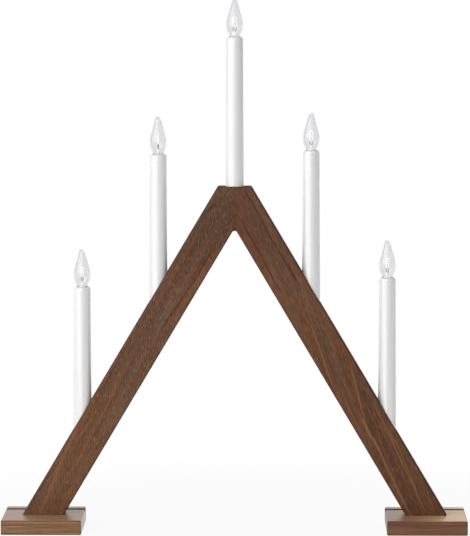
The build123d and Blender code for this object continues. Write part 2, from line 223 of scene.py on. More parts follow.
reach, front = studio["floorReach"], studio["floorFront"]
floorMesh = bpy.data.meshes.new("floor")
floorMesh.from_pydata([(-reach, -front, 0), (reach, -front, 0), (reach, reach, 0), (-reach, reach, 0)],
                      [], [(0, 1, 2, 3)])
floor = bpy.data.objects.new("floor", floorMesh)
bpy.context.scene.collection.objects.link(floor)
floorMaterial, floorTree, floorShader = newMaterial("paperFloor", {
    "Base Color": hexToLinear(studio["floorColour"]), "Roughness": 0.9})
floorPath = addNode(floorTree, "ShaderNodeLightPath").outputs
watched = floorPath["Is Camera Ray"]
for ray in ("Is Transmission Ray", "Is Glossy Ray"):
    watched = addNode(floorTree, mathNode, larger, {0: watched, 1: floorPath[ray]})
floorSpot = addNode(floorTree, "ShaderNodeTexCoord").outputs["Object"]
away = addNode(floorTree, vectorMath, {"operation": "LENGTH"}, {0: floorSpot}).outputs["Value"]
fade = addNode(floorTree, mapRange, smoothStep, spread(
    away, *studio["floorFade"], 1 - studio["floorShadow"], 1.0))
whiteShare = addNode(floorTree, mathNode, times, {0: watched, 1: fade})
glow = addNode(floorTree, "ShaderNodeEmission", inputs={"Color": (1, 1, 1, 1), "Strength": 1.0})
floorMix = addNode(floorTree, "ShaderNodeMixShader", inputs={0: whiteShare, 1: floorShader, 2: glow})
floorTree.links.new(floorMix.outputs[0], floorTree.nodes["Material Output"].inputs["Surface"])
floorMesh.materials.append(floorMaterial)

boxData = bpy.data.lights.new("softBox", "AREA")
boxData.energy = studio["boxWatts"]
boxData.shape = "RECTANGLE"
boxData.size, boxData.size_y = studio["boxSize"]
softBox = bpy.data.objects.new("softBox", boxData)
softBox.location = studio["boxPlace"]
softBox.visible_camera = False
softBox.rotation_euler = (Vector(studio["boxTarget"]) - softBox.location).to_track_quat("-Z", "Y").to_euler()
bpy.context.scene.collection.objects.link(softBox)
print("camera, floor and light set")

# Stained beech of the legs and foot plates; lengths in mm
beech = {
    "gold": "#94653A",
    "vein": "#3C2014",
    "pore": "#38221A",
    "arris": "#2A1810",
    "shadow": "#4E2C1C",
    # painted highlight on the right end face of a foot plate
    "endHighlight": "#EADBC6",
    "legWidth": 35.1,
    "grooveInset": 18.0,  # of a foot plate, from its rear edge to the middle of the groove
    "grooveWidth": 8.5,
    "grooveDepth": 3.0,
    "grooveEdge": 0.3,
    # share of painted shade on the groove's walls and floor
    "grooveShade": 0.85,
    "endRoughness": 0.75,  # end grain and sides are duller
    "figure": (15.0, 120.0, 2.0, 0.5, 3.0),  # width, length, detail, wander and seed
    "streaks": (2.6, 90.0, 4.0, 0.35, 17.0),
    "pores": (0.8, 7.0, 1.0, 0.0, 59.0),
    "veins": (10.0, 300.0, 2.0, 0.6, 73.0),
    "flecks": (2.0, 0.1, 41.0),  # detail, wander and seed; the board gives width and length
    "hairs": (1.0, 0.1, 97.0),
    "toneStops": (0.3, 0.5, 0.7),
    "lowSpan": (70, 230),  # heights over which the stain of the foot ends
    "apexSpan": (230, 300),  # heights over which the stain gets thicker
    "apexShade": 0.76,
    "darkest": 0.3,
    "fleckDepth": 1.4,
    "crestStops": (0.488, 0.512, 0.522),
    "crestSpan": (110, 230),  # heights over which the narrow golden lines get weaker
    "crestLeft": 0.3,
    "drift": 8.0,  # how far the figure bends a growth line
    "fadeLength": 20,  # of a growth line at both ends
    "lineCore": 0.2,
    "lineSoft": 1.6,
    "besideRise": 3.0,
    "besideFade": (5.0, 12.0),
    "hairSpan": (0.56, 0.7),
    "poreSpan": (0.3, 0.42),
    "poreSink": -0.8,
    "topSkin": (0.5, 0.1),  # below the upper face of a foot plate
    "skin": (0.6, 0.1),  # inside a face
    "arrisInset": (1.5, 0.3),  # from two faces at once
    "arrisCount": (1.0, 1.9),
    "seam": (0.1, 0.45),  # mitre joint at the apex
    "seamShade": 0.45,
    "crown": (1.2, 0.3),
    "cutStain": 0.25,  # cut faces took more stain
    "sheenSpan": (-0.05, 0.08),
    "bump": (0.15, 0.2),  # strength and depth
}
# flecks and hairs: width and length in mm, drawn coarser than real ones so that they show
# tones: reddish, middle and greyish stain; low: stain towards the feet and its share; sheen: of the lacquer
# turn, fleckTurn and lean: degrees from upright, towards +X at the top; lean is that of the board itself
# lines: turn, offset, width, strength, from, to (mm), and the share of warm wood on their right side,
# or on their left side where it is negative; crests: the same for golden lines, with dark wood beside them
# top: painted reflection and highlight on a foot plate's upper face: its tones at the left and right end,
# and their share
# end: share of a painted highlight on its right end face
boards = {
    "left_leg": {
        "turn": 31.0, "fleckTurn": 4.0, "lean": 30.7, "shift": 57.0, "gold": 0.2, "light": 0.9,
        "streak": 0.85, "fleck": 1.45, "hair": 0.6, "pore": 0.2, "flecks": (0.8, 5.5), "hairs": (0.8, 5.5),
        "tones": ("#6A3F24", "#64412A", "#674C3B"), "low": ("#6E4622", 0.4), "sheen": 0.36, "ior": 1.34,
        "arris": 0.5, "warm": "#7C4A22", "pale": "#8A6650",
        "lines": [(47.5, -252.6, 1.1, 1.0, 300, 347, -0.25), (32.0, -166.8, 0.85, 0.85, 190, 290, 0.5),
                  (29.0, -182.6, 0.8, 0.4, 60, 210, -0.5)],
        "crests": [(22.6, -185.2, 1.6, 0.35, 5, 110, 0.0), (27.0, -170.0, 1.2, 0.25, 60, 170, 0.3)]},
    "right_leg": {
        "turn": -22.0, "fleckTurn": -19.0, "lean": -30.7, "shift": 431.0, "gold": 0.42, "light": 0.9,
        "streak": 0.9, "fleck": 1.15, "hair": 0.4, "pore": 0.2, "flecks": (0.8, 8.0), "hairs": (0.8, 8.0),
        "tones": ("#6C3C1E", "#674026", "#664A38"), "low": ("#5A3214", 0.75), "sheen": 0.36, "ior": 1.34,
        "arris": 0.5, "warm": "#7C4A22", "pale": "#8A6650",
        "lines": [(-30.7, 180.4, 1.15, 0.95, 235, 351, 0.5), (-30.7, 161.4, 0.85, 0.8, 225, 316, -0.35),
                  (-25.0, 146.6, 0.8, 0.5, 90, 190, 0.4)],
        "crests": [(-19.4, 139.4, 1.0, 0.5, 135, 212, 0.4), (-16.1, 154.6, 0.9, 0.5, 84, 172, 0.5),
                   (-26.6, 163.3, 1.0, 0.55, 5, 124, 0.55), (-25.5, 179.6, 0.8, 0.4, 10, 135, 0.0)]},
    "left_foot": {
        "turn": 90.0, "fleckTurn": 90.0, "lean": 0.0, "shift": 877.0, "gold": 0.35, "light": 0.96,
        "streak": 1.1, "fleck": 1.5, "hair": 0.5, "pore": 0.15, "flecks": (0.6, 45.0), "hairs": (0.6, 60.0),
        "tones": ("#82583A", "#876243", "#8A6B50"), "low": ("#876243", 0.0), "sheen": 0.32, "ior": 1.32,
        "arris": 0.4, "warm": "#7A4A2C", "pale": "#B7977A", "top": ("#B28F6C", "#B28F6C", 0.75), "end": 0.6,
        "lines": [(90.0, -10.5, 0.5, 0.3, -40, 60, -0.2)], "crests": []},
    "right_foot": {
        "turn": 90.0, "fleckTurn": 90.0, "lean": 0.0, "shift": 1290.0, "gold": 0.2, "light": 1.08,
        "streak": 1.1, "fleck": 1.3, "hair": 0.4, "pore": 0.15, "flecks": (0.6, 45.0), "hairs": (0.6, 60.0),
        "tones": ("#6A4029", "#714D35", "#7A5A44"), "low": ("#714D35", 0.0), "sheen": 0.32, "ior": 1.32,
        "arris": 0.5, "warm": "#643828", "pale": "#A48872", "top": ("#967156", "#E2B88C", 0.9), "end": 0.0,
        "lines": [(90.0, -8.0, 0.6, 0.3, -40, 60, -0.7)], "crests": []},
}


def stainedBeech(boardName, board):
    # Planed beech, walnut stain, satin lacquer: long streaks, short flecks, dark arrises,
    # and a sheen that whitens at a slant
    lowCorner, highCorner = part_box(boardName)
    lean = math.radians(board["lean"])
    material, tree, shader = newMaterial("stainedBeech_" + boardName, {"IOR": board["ior"]})
    where = addNode(tree, "ShaderNodeTexCoord").outputs["Object"]
    across, back, height = addNode(tree, "ShaderNodeSeparateXYZ", inputs={0: where}).outputs

    def alongGrain(turn, shift=(0, 0, 0)):  # in mm, x across and z along a grain that leans by that turn
        return addNode(tree, "ShaderNodeMapping", inputs={
            "Vector": where, "Rotation": (0, -math.radians(turn), 0), "Scale": (1 / mm, 1 / mm, 1 / mm),
            "Location": shift})

    def grain(turn, width, length, detail, wander, seed):  # noise drawn out along the grain
        turned = alongGrain(turn, (board["shift"] + seed, seed * 0.7, seed * 1.3))
        drawn = addNode(tree, "ShaderNodeMapping", inputs={
            "Vector": turned, "Scale": (1 / width, 1 / width, 1 / length)})
        return addNode(tree, "ShaderNodeTexNoise", inputs={
            "Vector": drawn, "Scale": 1.0, "Detail": detail, "Roughness": 0.55,
            "Distortion": wander}).outputs[0]

    figure, streaks, veins = [grain(board["turn"], *beech[kind]) for kind in ("figure", "streaks", "veins")]
    pores = grain(board["fleckTurn"], *beech["pores"])
    flecks, hairs = [grain(board["fleckTurn"], *board[kind], *beech[kind]) for kind in ("flecks", "hairs")]

    tone = addNode(tree, "ShaderNodeValToRGB", inputs={0: figure})
    setStops(tone.color_ramp, list(zip(beech["toneStops"], board["tones"])))
    lowTone, lowShare = board["low"]
    nearFoot = addNode(tree, mapRange, smoothStep, spread(
        height, *[h * mm for h in beech["lowSpan"]], lowShare, 0.0))
    tone = addNode(tree, "ShaderNodeMix", ofColours, {
        0: nearFoot, 6: tone.outputs[0], 7: hexToLinear(lowTone)})
    shade = addNode(tree, mathNode, timesPlus, {
        0: streaks, 1: board["streak"], 2: board["light"] - board["streak"] / 2})
    depth = beech["fleckDepth"] * board["fleck"]
    lower = addNode(tree, mathNode, minus, {0: shade, 1: depth / 2})
    shade = addNode(tree, mathNode, timesPlus, {0: flecks, 1: depth, 2: lower})
    shade = addNode(tree, mathNode, larger, {0: shade, 1: beech["darkest"]})
    if lean:
        apex = addNode(tree, mapRange, smoothStep, spread(
            height, *[h * mm for h in beech["apexSpan"]], 1.0, beech["apexShade"]))
        shade = addNode(tree, mathNode, times, {0: shade, 1: apex})
    colour = addNode(tree, vectorMath, scaled, {0: tone, "Scale": shade})

    crest = addNode(tree, "ShaderNodeValToRGB", inputs={0: veins})  # narrow golden lines
    setStops(crest.color_ramp, list(zip(beech["crestStops"], (0.0, board["gold"], 0.0))))
    lowDown = addNode(tree, mapRange, smoothStep, spread(
        height, *[h * mm for h in beech["crestSpan"]], 1.0, beech["crestLeft"]))
    golden = addNode(tree, mathNode, times, {0: crest.outputs[0], 1: lowDown})
    layers = [(golden, hexToLinear(beech["gold"]))]  # share and tint, laid over each other in this order

    marks = [(beech["vein"], board["warm"], row) for row in board["lines"]]
    marks += [(beech["gold"], beech["shadow"], row) for row in board["crests"]]
    for tint, besideTint, (turn, offset, width, strength, low, high, beside) in marks:
        sideways = addNode(tree, "ShaderNodeSeparateXYZ", inputs={0: alongGrain(turn)}).outputs[0]
        centred = addNode(tree, mathNode, minus, {0: sideways, 1: offset + beech["drift"] / 2})
        drift = addNode(tree, mathNode, timesPlus, {0: figure, 1: beech["drift"], 2: centred})
        fade = beech["fadeLength"]
        start = addNode(tree, mapRange, smoothStep, spread(height, low * mm, (low + fade) * mm))
        stop = addNode(tree, mapRange, smoothStep, spread(height, (high - fade) * mm, high * mm, 1.0, 0.0))
        stretch = addNode(tree, mathNode, times, {0: start, 1: stop})
        sign = math.copysign(1.0, beside)
        strip = addNode(tree, mapRange, smoothStep, spread(
            drift, 0.0, sign * beech["besideRise"], 0.0, abs(beside)))
        edge = addNode(tree, mapRange, smoothStep, spread(
            drift, *[sign * f for f in beech["besideFade"]], 1.0, 0.0))
        for limit in (edge, stretch):
            strip = addNode(tree, mathNode, times, {0: strip, 1: limit})
        warm = addNode(tree, vectorMath, scaled, {0: hexToLinear(besideTint)[:3], "Scale": shade})
        gap = addNode(tree, mathNode, unsigned, {0: drift})
        line = addNode(tree, mapRange, smoothStep, spread(
            gap, beech["lineCore"], width * beech["lineSoft"], strength, 0.0))
        line = addNode(tree, mathNode, times, {0: line, 1: stretch})
        layers += [(strip, warm), (line, hexToLinear(tint))]

    if not lean:
        # painted reflection of the bright room on a foot plate's upper face, and a painted highlight towards
        # its right end
        leftReflectionTone, rightReflectionTone, topReflectionShare = board["top"]
        along = addNode(tree, mapRange, smoothStep, spread(across, lowCorner.x, highCorner.x))
        topReflectionTone = addNode(tree, "ShaderNodeMix", ofColours, {
            0: along, 6: hexToLinear(leftReflectionTone), 7: hexToLinear(rightReflectionTone)})
        topReflectionTone = addNode(tree, vectorMath, scaled, {0: topReflectionTone, "Scale": shade})
        upper = addNode(tree, mapRange, smoothStep, spread(
            height, *[highCorner.z - s * mm for s in beech["topSkin"]], 0.0, topReflectionShare))
        layers.append((upper, topReflectionTone))
    pale = addNode(tree, mapRange, smoothStep, spread(hairs, *beech["hairSpan"], 0.0, board["hair"]))
    pit = addNode(tree, mapRange, smoothStep, spread(pores, *beech["poreSpan"], board["pore"], 0.0))
    layers += [(pale, hexToLinear(board["pale"])), (pit, hexToLinear(beech["pore"]))]

    half = (highCorner - lowCorner) / 2 / mm
    middle = (highCorner + lowCorner) / 2 / mm
    if lean:  # the board's own axes: its foot stands on the middle of a foot plate
        footLow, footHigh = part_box(boardName.replace("leg", "foot"))
        footMiddle = (footLow.x + footHigh.x) / 2 / mm
        middle = Vector((footMiddle * math.cos(lean) - lowCorner.z / mm * math.sin(lean), middle.y, 0))
        legLength = highCorner.z / mm / math.cos(lean) + beech["legWidth"]
        half = Vector((beech["legWidth"] / 2, half.y, legLength))
    own = addNode(tree, vectorMath, minus, {0: alongGrain(board["lean"]), 1: middle})
    extent = addNode(tree, vectorMath, unsigned, {0: own})
    axes = addNode(tree, "ShaderNodeSeparateXYZ", inputs={0: extent}).outputs
    atFace = [addNode(tree, mapRange, smoothStep, spread(
        axis, *[limit - inset for inset in beech["arrisInset"]]))
              for axis, limit in zip(axes, half)]
    count = atFace[0]
    for face in atFace[1:]:
        count = addNode(tree, mathNode, plus, {0: count, 1: face})
    dark = hexToLinear(beech["arris"])
    arris = addNode(tree, mapRange, smoothStep, spread(count, *beech["arrisCount"], 0.0, board["arris"]))
    layers.append((arris, dark))
    sheen = addNode(tree, mapRange, inputs=spread(
        streaks, 0.3, 0.7, *[board["sheen"] + change for change in beech["sheenSpan"]]))
    if lean:
        offSeam = addNode(tree, mathNode, unsigned, {0: across})
        seam = addNode(tree, mapRange, smoothStep, spread(
            offSeam, *[s * mm for s in beech["seam"]], beech["seamShade"], 0.0))
        crown = addNode(tree, mapRange, smoothStep, spread(
            height, *[highCorner.z - c * mm for c in beech["crown"]]))
        dull = addNode(tree, mathNode, larger, {0: atFace[0], 1: crown})
        stain = addNode(tree, mathNode, times, {0: dull, 1: beech["cutStain"]})
        layers += [(seam, dark), (stain, dark)]
    else:
        # painted highlight on the right end face
        paintedEndHighlight = addNode(tree, mapRange, smoothStep, spread(
            across, *[highCorner.x - s * mm for s in beech["skin"]], 0.0, board["end"]))
        grooveLine = highCorner.y - beech["grooveInset"] * mm
        offGroove = addNode(tree, mathNode, minus, {0: back, 1: grooveLine})
        offGroove = addNode(tree, mathNode, unsigned, {0: offGroove})
        wide = beech["grooveWidth"] / 2
        dull = addNode(tree, mapRange, smoothStep,  # painted shade in the groove
                       spread(offGroove, wide * mm, (wide + beech["grooveEdge"]) * mm, 1.0, 0.0))
        grooveFloor = highCorner.z - beech["grooveDepth"] * mm
        for level, low, high in ((highCorner.z, beech["grooveShade"], 0.0), (grooveFloor, 0.0, 1.0)):
            limit = addNode(tree, mapRange, smoothStep, spread(
                height, *[level - s * mm for s in beech["skin"]], low, high))
            dull = addNode(tree, mathNode, times, {0: dull, 1: limit})
        layers += [(paintedEndHighlight, hexToLinear(beech["endHighlight"])), (dull, dark)]
    sheen = addNode(tree, "ShaderNodeMix", ofValues, {0: dull, 2: sheen, 3: beech["endRoughness"]})
    for share, tint in layers:
        colour = addNode(tree, "ShaderNodeMix", ofColours, {0: share, 6: colour, 7: tint})
    feed(tree, shader, "Base Color", colour)
    feed(tree, shader, "Roughness", sheen)
    strength, bumpDepth = beech["bump"]
    relief = addNode(tree, mathNode, timesPlus, {0: pit, 1: beech["poreSink"], 2: flecks})
    feed(tree, shader, "Normal", addNode(tree, "ShaderNodeBump", inputs={
        "Strength": strength, "Distance": bumpDepth * mm, "Height": relief}))
    return material


for boardName, board in boards.items():
    dress(stainedBeech(boardName, board), boardName)
print("legs and foot plates stained:", len(boards))

# Candle tubes
tube = {
    "colour": "#F3F3F3",
    "shade": "#EEEFEF",
    "gloss": {"IOR": 1.59, "Specular IOR Level": 0.7},
    "glow": {"Subsurface Weight": 0.5, "Subsurface Radius": (1.0, 1.0, 0.95), "Subsurface Scale": 1.5 * mm},
    "roughness": (0.03, 0.1),
    "cloud": 40.0,  # mm
    "skin": 1.5,
    "bump": (0.02, 0.1),
}


def mouldedStyrene():
    # Injection-moulded white polystyrene: near-white and glossy, a little light goes through it,
    # and its skin is barely uneven
    material, tree, shader = newMaterial("whiteStyreneMoulded", {**tube["gloss"], **tube["glow"]})
    where = addNode(tree, "ShaderNodeTexCoord").outputs["Object"]
    cloud = addNode(tree, "ShaderNodeTexNoise", inputs={
        "Vector": where, "Scale": 1 / (tube["cloud"] * mm), "Detail": 3.0, "Roughness": 0.5}).outputs[0]
    feed(tree, shader, "Base Color", addNode(tree, "ShaderNodeMix", ofColours, {
        0: cloud, 6: hexToLinear(tube["colour"]), 7: hexToLinear(tube["shade"])}))
    feed(tree, shader, "Roughness", addNode(tree, mapRange, inputs=spread(
        cloud, 0.0, 1.0, *tube["roughness"])))
    skin = addNode(tree, "ShaderNodeTexNoise", inputs={
        "Vector": where, "Scale": 1 / (tube["skin"] * mm), "Detail": 2.0}).outputs[0]
    strength, bumpDepth = tube["bump"]
    feed(tree, shader, "Normal", addNode(tree, "ShaderNodeBump", inputs={
        "Strength": strength, "Distance": bumpDepth * mm, "Height": skin}))
    return material


dress(mouldedStyrene(), *["candle_tube_" + n for n in lampNames])
print("candle tubes finished")

# Lamp glass; lengths in mm, heights from the candle's mouth
bulb = {
    "radius": 8.3,
    "height": 37.0,
    "wall": 0.75,
    "neckRadius": 4.2,
    "neckFoot": -7.0,
    "neckTop": -3.0,
    "rimRadius": 5.1,
    "tip": ((2.55, 34.5), (1.65, 36.1), (0.85, 36.8), (0.0, 37.0)),
    "hollowTip": ((2.15, 34.35), (1.3, 35.9), (0.6, 36.5), (0.0, 36.65)),
    "tipLean": 0.9,
    "leanFrom": 28.0,
    "leanPower": 2.5,
    "stem": ((4.2, 0.05), (3.4, 0.3), (2.4, 1.0), (1.8, 2.3), (1.85, 3.9), (1.5, 4.7), (0.0, 5.0)),
    "stemFoot": -0.25,  # the stem's flare closes the neck
    "stemRows": 24,
    "pinch": 0.4,
    "pinchFoot": -1.0,
    "pinchRise": 4.0,
    "segments": 72,
    "rows": 60,
    "heightShares": (0.14, 0.22, 0.31, 0.43, 0.57, 0.70, 0.84),
    "radiusShares": (0.88, 0.985, 1.0, 0.955, 0.80, 0.63, 0.446),
    "colour": "#F0F0F2",
    "ior": 1.36,  # low, for a wall drawn thicker than the real 0.5 mm
    # painted light: the stem glows as if the filament lit it
    "stemPaintedLightColour": "#FFF6EC",
    "stemPaintedLight": 0.38,
}
# degrees, as they happen to be screwed in, and the side to which the sealed tips lean
lampTurns = {"left_low": 60.0, "left_mid": 80.0, "top": 0.0, "right_mid": 15.0, "right_low": 40.0}
tipTurns = {"left_low": 170.0, "left_mid": 185.0, "top": 95.0, "right_mid": 20.0, "right_low": 160.0}


def smoothThrough(points, count):  # even samples of a smooth line through the points
    curve = bpy.data.curves.new("outline", "CURVE")
    curve.dimensions = "3D"
    curve.resolution_u = 24
    spline = curve.splines.new("BEZIER")
    spline.bezier_points.add(len(points) - 1)
    for knot, (radius, height) in zip(spline.bezier_points, points):
        knot.co = (radius, 0, height)
        knot.handle_left_type = knot.handle_right_type = "AUTO"
    holder = bpy.data.objects.new("outline", curve)
    bpy.context.scene.collection.objects.link(holder)
    mesh = bpy.data.meshes.new_from_object(holder.evaluated_get(bpy.context.evaluated_depsgraph_get()))
    line = [Vector(v.co) for v in mesh.vertices]
    bpy.data.objects.remove(holder)
    bpy.data.curves.remove(curve)
    bpy.data.meshes.remove(mesh)
    lengths = [0.0]
    for a, b in zip(line, line[1:]):
        lengths.append(lengths[-1] + (b - a).length)
    samples, at = [], 0
    for i in range(count):
        goal = lengths[-1] * i / (count - 1)
        while at < len(lengths) - 2 and lengths[at + 1] < goal:
            at += 1
        share = (goal - lengths[at]) / max(lengths[at + 1] - lengths[at], 1e-9)
        point = line[at].lerp(line[at + 1], min(max(share, 0.0), 1.0))
        samples.append((max(point.x, 0.0), point.z))
    return samples


def asMesh(name, bm):
    mesh = bpy.data.meshes.new(name)
    bm.to_mesh(mesh)
    bm.free()
    return mesh


def revolve(bm, outline, segments, warp=None, materialIndex=0):  # outline: (radius, height) in mm
    rings = []
    for radius, height in outline:
        if radius < 1e-6:
            rings.append([bm.verts.new((0, 0, height * mm))])
        else:
            angles = [fullTurn * k / segments for k in range(segments)]
            rings.append([bm.verts.new((radius * mm * math.cos(a), radius * mm * math.sin(a), height * mm))
                          for a in angles])
    for low, high in zip(rings, rings[1:]):
        for k in range(segments):
            j = (k + 1) % segments
            corners = [low[k % len(low)], low[j % len(low)], high[j % len(high)], high[k % len(high)]]
            corners = list(dict.fromkeys(corners))
            if len(corners) > 2:
                face = bm.faces.new(corners)
                face.smooth = True
                face.material_index = materialIndex
    if warp:
        for ring in rings:
            for vertex in ring:
                warp(vertex)


def bulbMesh(name):
    wall, neck, foot = bulb["wall"], bulb["neckRadius"], bulb["neckFoot"]
    belly = [(bulb["rimRadius"], 0.0)]
    belly += [(bulb["radius"] * r, bulb["height"] * h)
              for h, r in zip(bulb["heightShares"], bulb["radiusShares"])]
    outer = smoothThrough([(neck, foot), (neck, bulb["neckTop"]), *belly, *bulb["tip"]], bulb["rows"])
    inner = smoothThrough([(neck - wall, foot + wall), (neck - wall, bulb["neckTop"]),
                           *[(r - wall, h) for r, h in belly], *bulb["hollowTip"]], bulb["rows"])
    stem = [(0.0, bulb["stemFoot"]), (bulb["stem"][0][0], bulb["stemFoot"]),
            *smoothThrough(bulb["stem"], bulb["stemRows"])]
    lean = math.radians(tipTurns[name])
    turn = math.radians(lampTurns[name])

    def leanTip(vertex):  # the sealed tip bends a little to one side
        rise = max(0.0, vertex.co.z / mm - bulb["leanFrom"]) / (bulb["height"] - bulb["leanFrom"])
        reach = bulb["tipLean"] * mm * rise ** bulb["leanPower"]
        vertex.co += Vector((math.cos(lean), math.sin(lean), 0)) * reach

    def pressStem(vertex):  # the stem is pinched flat where it grips the leads
        x, y = vertex.co.x, vertex.co.y
        rise = (vertex.co.z / mm - bulb["pinchFoot"]) / bulb["pinchRise"]
        pinch = 1 - bulb["pinch"] * min(1.0, max(0.0, rise))
        along = x * math.cos(turn) + y * math.sin(turn)
        across = (-x * math.sin(turn) + y * math.cos(turn)) * pinch
        vertex.co.x = along * math.cos(turn) - across * math.sin(turn)
        vertex.co.y = along * math.sin(turn) + across * math.cos(turn)

    bm = bmesh.new()
    revolve(bm, [(0.0, foot), *outer], bulb["segments"], leanTip)
    revolve(bm, [*reversed(inner), (0.0, foot + wall)], bulb["segments"], leanTip)
    revolve(bm, stem, bulb["segments"] // 2, pressStem, 1)
    return asMesh("lampGlass_" + name, bm)


# Blown soda-lime glass: clear, polished by the flame, with faint waves that bend what is behind it
glass = patterned(
    "sodaGlassBlown",
    {"Base Color": hexToLinear(bulb["colour"]), "IOR": bulb["ior"], "Transmission Weight": 1.0},
    [(9, 1.0, 0.0)], roughness=(0.0, 0.03, 0), bump=(0.05, 0.2, 0))
# Stem glass pressed round the leads: milky from fine bubbles; its glow is painted light from the filament
# shining into it
stemGlass = patterned(
    "stemGlassPressed",
    {"IOR": 1.5, "Emission Color": hexToLinear(bulb["stemPaintedLightColour"]), "Emission Strength": bulb["stemPaintedLight"]},
    [(0.8, 3.0, 0.0)], [(0.3, "#F2F2EF"), (0.7, "#FAFAF8")], roughness=(0.15, 0.35, 0))
mouths = {}
for lampName in lampNames:
    low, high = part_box("candle_tube_" + lampName)
    mouths[lampName] = Vector(((low.x + high.x) / 2, (low.y + high.y) / 2, high.z))
    mesh = bulbMesh(lampName)
    mesh.transform(Matrix.Translation(mouths[lampName]))
    mesh.materials.append(glass)
    mesh.materials.append(stemGlass)
    place("lampGlass_" + lampName, mesh, "lamp_" + lampName, "lamp_glass", "bulb_glass_" + lampName)
print("lamp glass blown:", len(lampNames))


# Geometry Nodes
def startTree(title, sizes):  # a tree with named inputs, and its group input's sockets
    tree = bpy.data.node_groups.new(title, "GeometryNodeTree")
    tree.interface.new_socket("Geometry", in_out="INPUT", socket_type="NodeSocketGeometry")
    for name, value in sizes.items():
        kind = "NodeSocketInt" if isinstance(value, int) else "NodeSocketFloat"
        tree.interface.new_socket(name, in_out="INPUT", socket_type=kind).default_value = value
    tree.interface.new_socket("Geometry", in_out="OUTPUT", socket_type="NodeSocketGeometry")
    return tree, addNode(tree, "NodeGroupInput").outputs


def endTree(tree, shape, material):
    real = addNode(tree, "GeometryNodeRealizeInstances", inputs={0: shape})
    made = addNode(tree, "GeometryNodeSetMaterial", inputs={"Geometry": real, "Material": material})
    addNode(tree, "NodeGroupOutput", inputs={0: made})


def grow(name, mesh, tree, sizes):  # the tree's result on that mesh, as a plain mesh
    holder = bpy.data.objects.new(name, mesh)
    bpy.context.scene.collection.objects.link(holder)
    modifier = holder.modifiers.new("grow", "NODES")
    modifier.node_group = tree
    for item in tree.interface.items_tree:
        if item.in_out == "INPUT" and item.name in sizes:
            modifier[item.identifier] = sizes[item.name]
    bpy.context.view_layer.update()
    result = bpy.data.meshes.new_from_object(holder.evaluated_get(bpy.context.evaluated_depsgraph_get()))
    holder.modifiers.remove(modifier)
    bpy.data.objects.remove(holder)
    bm = bmesh.new()
    bm.from_mesh(result)
    bmesh.ops.recalc_face_normals(bm, faces=bm.faces)
    bm.to_mesh(result)
    bm.free()
    return result


# Filament and leads; lengths in mm, heights from the candle's mouth
filament = {
    "halfSpan": 1.6,
    "foot": 9.2,
    "leg": 8.5,
    "legSteps": 16,
    "bowSteps": 24,
    "coilRadius": 0.45,
    "wireRadius": 0.13,
    "wireSides": 6,
    "turns": 46,
    "stepsPerTurn": 14,
    "colour": "#8C857C",
    "shine": 1.05,
}
filamentSizes = {
    "Turns": float(filament["turns"]),
    "Coil Radius": filament["coilRadius"] * mm,
    "Wire Radius": filament["wireRadius"] * mm,
    "Steps": filament["turns"] * filament["stepsPerTurn"],
}
lead = {
    "radius": 0.28,
    "halfGap": 0.8,
    "foot": -5.5,
    "stemTop": 5.0,
    "kink": (1.05, 0.6),  # share of the gap, and height above the stem
    "elbow": (0.96, 1.2),  # share of the filament's span, and depth below its foot
    "top": 9.6,
    "rows": 26,
    "sides": 10,
    "patch": 2.0,
    "ragged": 0.3,
    "stops": [(0.84, "#ECE9E4"), (0.9, "#6B4A3A"), (1.0, "#7D5B47")],
    "roughness": (0.25, 0.6),
}


def coilTree(material):
    tree, given = startTree("coiledFilament", filamentSizes)
    line = addNode(tree, "GeometryNodeMeshToCurve", inputs={0: given["Geometry"]})
    even = addNode(tree, "GeometryNodeResampleCurve", inputs={"Curve": line, "Count": given["Steps"]})
    share = addNode(tree, "GeometryNodeSplineParameter").outputs["Factor"]
    around = addNode(tree, mathNode, times, {0: share, 1: given["Turns"]})
    angle = addNode(tree, mathNode, times, {0: around, 1: fullTurn})
    tangent = addNode(tree, "GeometryNodeInputTangent")
    normal = addNode(tree, "GeometryNodeInputNormal").outputs[0]
    swung = addNode(tree, "ShaderNodeVectorRotate", {"rotation_type": "AXIS_ANGLE"}, {
        "Vector": normal, "Axis": tangent, "Angle": angle})
    outward = addNode(tree, vectorMath, scaled, {0: swung, "Scale": given["Coil Radius"]})
    coil = addNode(tree, "GeometryNodeSetPosition", inputs={"Geometry": even, "Offset": outward})
    ring = addNode(tree, "GeometryNodeCurvePrimitiveCircle", inputs={
        "Resolution": filament["wireSides"], "Radius": given["Wire Radius"]}).outputs[0]
    wire = addNode(tree, "GeometryNodeCurveToMesh", inputs={
        "Curve": coil, "Profile Curve": ring, "Fill Caps": True})
    endTree(tree, addNode(tree, "GeometryNodeSetShadeSmooth", inputs={0: wire}), material)
    return tree


def oxidisedNickel():
    # Drawn nickel wire, browned by the heat: bright inside the glass stem, dull and dark above it
    material, tree, shader = newMaterial("nickelWireOxidised", {"Metallic": 0.4})
    where = addNode(tree, "ShaderNodeTexCoord").outputs["Object"]
    patch = addNode(tree, "ShaderNodeTexNoise", inputs={
        "Vector": where, "Scale": 1 / (lead["patch"] * mm), "Detail": 3.0}).outputs[0]
    rise = addNode(tree, "ShaderNodeAttribute", {"attribute_name": "rise"}).outputs["Fac"]
    ragged = addNode(tree, mathNode, timesPlus, {0: patch, 1: lead["ragged"], 2: rise})
    tone = addNode(tree, "ShaderNodeValToRGB", inputs={0: ragged})
    setStops(tone.color_ramp, lead["stops"])
    feed(tree, shader, "Base Color", tone)
    feed(tree, shader, "Roughness", addNode(tree, mapRange, inputs=spread(
        ragged, 0.0, 1.0, *lead["roughness"])))
    return material


